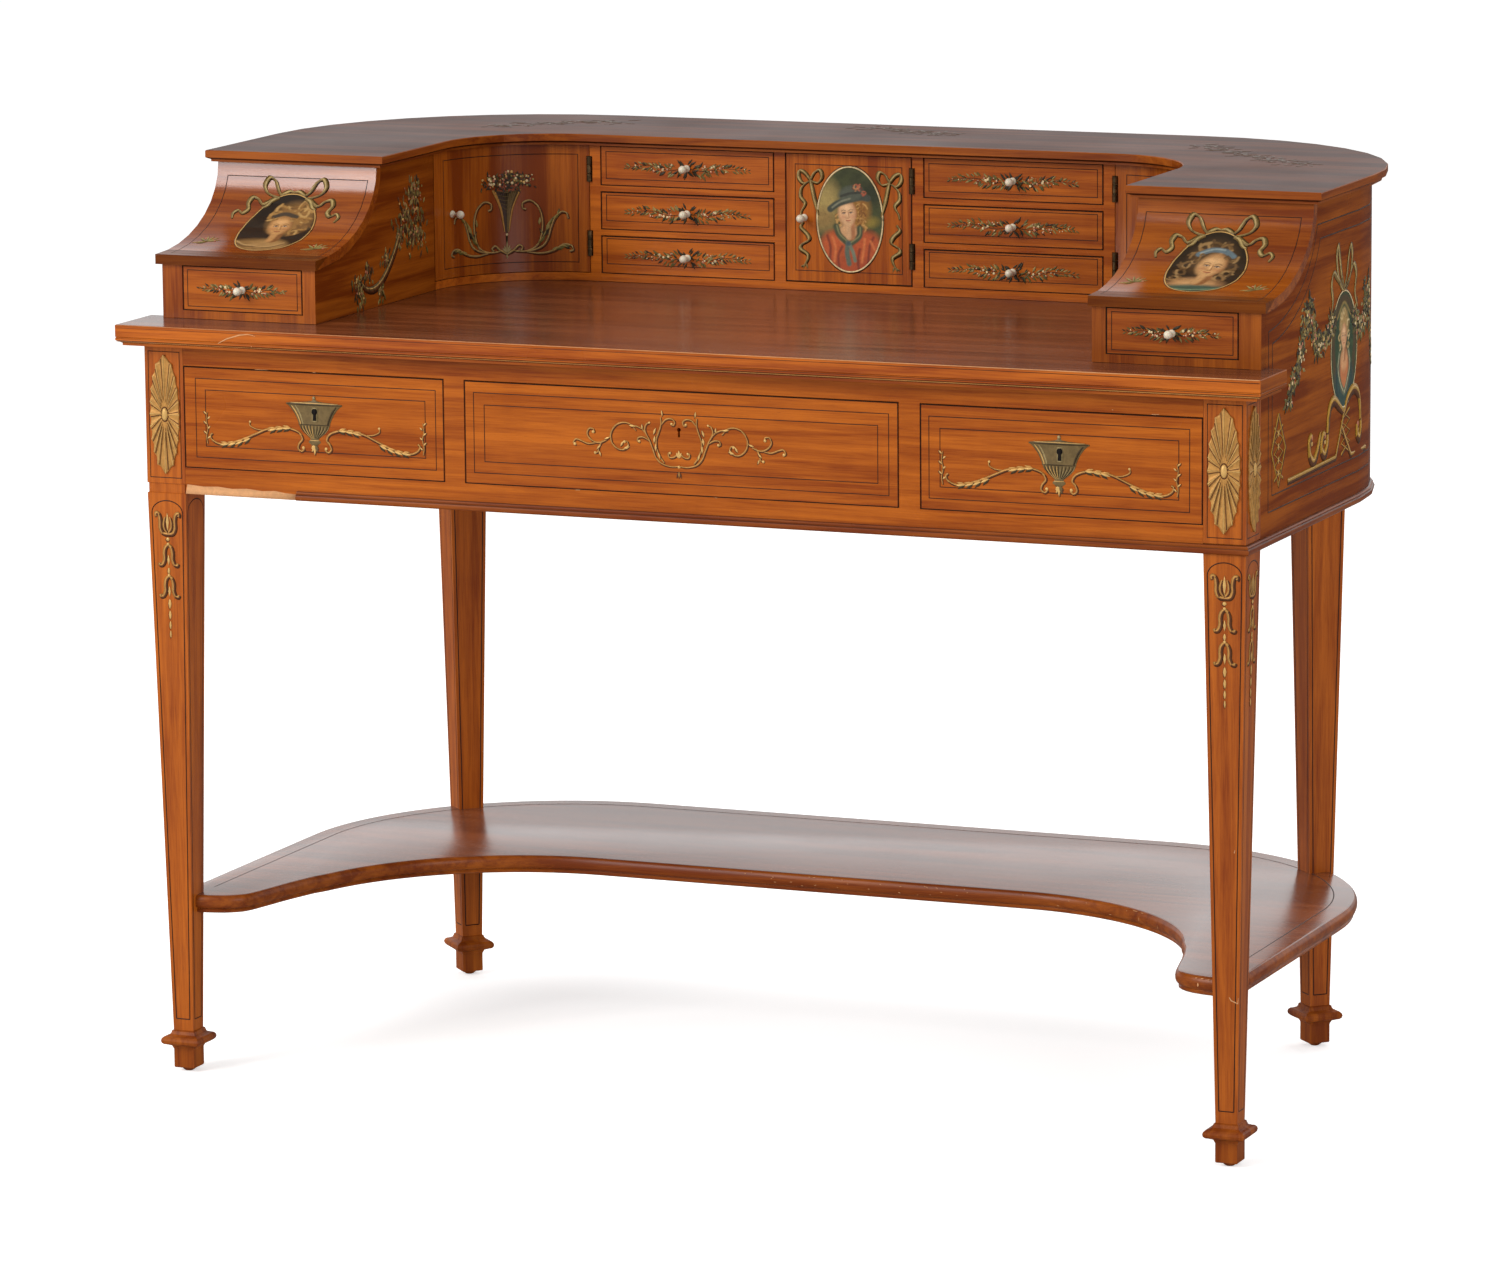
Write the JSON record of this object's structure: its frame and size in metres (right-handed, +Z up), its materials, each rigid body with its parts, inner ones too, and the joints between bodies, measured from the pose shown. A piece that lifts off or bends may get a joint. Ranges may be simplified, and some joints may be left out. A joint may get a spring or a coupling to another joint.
{
  "type": "writing desk",
  "caption": "D-shaped writing desk on square tapered legs with an undershelf: frieze drawers below a worktop, and a coved gallery of small drawers and cupboard doors on it.",
  "frame": {"origin": "on the floor, under the middle of the desk's bounding box", "axes": "+X to the sitter's right along the desk's width, +Y to the back, +Z up; the drawers face -Y"},
  "size_m": [1.22, 0.646, 0.936],
  "materials": {
    "satinwood": "french polished, painted",
    "dark_mahogany": "french polished",
    "mahogany": "french polished",
    "drawer_lining": "bare, waxed",
    "bone": "polished bone",
    "hinge_brass": "darkened"
  },
  "bodies": {
    "carcase": {"back_panel": "mahogany", "base_moulding": "mahogany", "cove_left": "satinwood", "cove_right": "satinwood", "drawer_bearers": "drawer_lining", "frieze_frame": "satinwood", "gallery_frame": "satinwood", "gallery_top": "dark_mahogany", "leg_front_left": "satinwood", "leg_front_right": "satinwood", "leg_rear_left": "satinwood", "leg_rear_right": "satinwood", "side_panel_left": "satinwood", "side_panel_right": "satinwood", "undershelf": "mahogany", "wing_case_left": "satinwood", "wing_case_right": "satinwood", "worktop": "dark_mahogany"},
    "centre_door": {"centre_door_hinge_high": "hinge_brass", "centre_door_hinge_low": "hinge_brass", "centre_door_knob": "bone", "centre_door_panel": "satinwood"},
    "corner_door_left": {"corner_door_left_hinge_high": "hinge_brass", "corner_door_left_hinge_low": "hinge_brass", "corner_door_left_knob": "bone", "corner_door_left_panel": "satinwood"},
    "corner_door_right": {"corner_door_right_hinge_high": "hinge_brass", "corner_door_right_hinge_low": "hinge_brass", "corner_door_right_knob": "bone", "corner_door_right_panel": "satinwood"},
    "frieze_drawer_centre": {"frieze_drawer_centre_box": "drawer_lining", "frieze_drawer_centre_front": "satinwood"},
    "frieze_drawer_left": {"frieze_drawer_left_box": "drawer_lining", "frieze_drawer_left_front": "satinwood"},
    "frieze_drawer_right": {"frieze_drawer_right_box": "drawer_lining", "frieze_drawer_right_front": "satinwood"},
    "stack_drawer_left_low": {"stack_drawer_left_low_box": "drawer_lining", "stack_drawer_left_low_front": "satinwood", "stack_drawer_left_low_knob": "bone"},
    "stack_drawer_left_middle": {"stack_drawer_left_middle_box": "drawer_lining", "stack_drawer_left_middle_front": "satinwood", "stack_drawer_left_middle_knob": "bone"},
    "stack_drawer_left_top": {"stack_drawer_left_top_box": "drawer_lining", "stack_drawer_left_top_front": "satinwood", "stack_drawer_left_top_knob": "bone"},
    "stack_drawer_right_low": {"stack_drawer_right_low_box": "drawer_lining", "stack_drawer_right_low_front": "satinwood", "stack_drawer_right_low_knob": "bone"},
    "stack_drawer_right_middle": {"stack_drawer_right_middle_box": "drawer_lining", "stack_drawer_right_middle_front": "satinwood", "stack_drawer_right_middle_knob": "bone"},
    "stack_drawer_right_top": {"stack_drawer_right_top_box": "drawer_lining", "stack_drawer_right_top_front": "satinwood", "stack_drawer_right_top_knob": "bone"},
    "wing_drawer_left": {"wing_drawer_left_box": "drawer_lining", "wing_drawer_left_front": "satinwood", "wing_drawer_left_knob": "bone"},
    "wing_drawer_right": {"wing_drawer_right_box": "drawer_lining", "wing_drawer_right_front": "satinwood", "wing_drawer_right_knob": "bone"}
  },
  "joints": [
    {"name": "frieze_drawer_left_slide", "type": "slide", "parent": "carcase", "child": "frieze_drawer_left", "axis": [0, -1, 0], "range_m": [0, 0.3]},
    {"name": "frieze_drawer_centre_slide", "type": "slide", "parent": "carcase", "child": "frieze_drawer_centre", "axis": [0, -1, 0], "range_m": [0, 0.3]},
    {"name": "frieze_drawer_right_slide", "type": "slide", "parent": "carcase", "child": "frieze_drawer_right", "axis": [0, -1, 0], "range_m": [0, 0.3]},
    {"name": "wing_drawer_left_slide", "type": "slide", "parent": "carcase", "child": "wing_drawer_left", "axis": [0, -1, 0], "range_m": [0, 0.2]},
    {"name": "wing_drawer_right_slide", "type": "slide", "parent": "carcase", "child": "wing_drawer_right", "axis": [0, -1, 0], "range_m": [0, 0.2]},
    {"name": "stack_drawer_left_low_slide", "type": "slide", "parent": "carcase", "child": "stack_drawer_left_low", "axis": [0, -1, 0], "range_m": [0, 0.095]},
    {"name": "stack_drawer_left_middle_slide", "type": "slide", "parent": "carcase", "child": "stack_drawer_left_middle", "axis": [0, -1, 0], "range_m": [0, 0.095]},
    {"name": "stack_drawer_left_top_slide", "type": "slide", "parent": "carcase", "child": "stack_drawer_left_top", "axis": [0, -1, 0], "range_m": [0, 0.095]},
    {"name": "stack_drawer_right_low_slide", "type": "slide", "parent": "carcase", "child": "stack_drawer_right_low", "axis": [0, -1, 0], "range_m": [0, 0.095]},
    {"name": "stack_drawer_right_middle_slide", "type": "slide", "parent": "carcase", "child": "stack_drawer_right_middle", "axis": [0, -1, 0], "range_m": [0, 0.095]},
    {"name": "stack_drawer_right_top_slide", "type": "slide", "parent": "carcase", "child": "stack_drawer_right_top", "axis": [0, -1, 0], "range_m": [0, 0.095]},
    {"name": "corner_door_left_hinge", "type": "hinge", "parent": "carcase", "child": "corner_door_left", "pos_m": [-0.2932, 0.1502, 0.7888], "axis": [0, 0, -1], "range_deg": [-100, 0]},
    {"name": "centre_door_hinge", "type": "hinge", "parent": "carcase", "child": "centre_door", "pos_m": [0.0706, 0.1502, 0.7888], "axis": [0, 0, -1], "range_deg": [-100, 0]},
    {"name": "corner_door_right_hinge", "type": "hinge", "parent": "carcase", "child": "corner_door_right", "pos_m": [0.2932, 0.1502, 0.7888], "axis": [0, 0, 1], "range_deg": [-100, 0]}
  ]
}
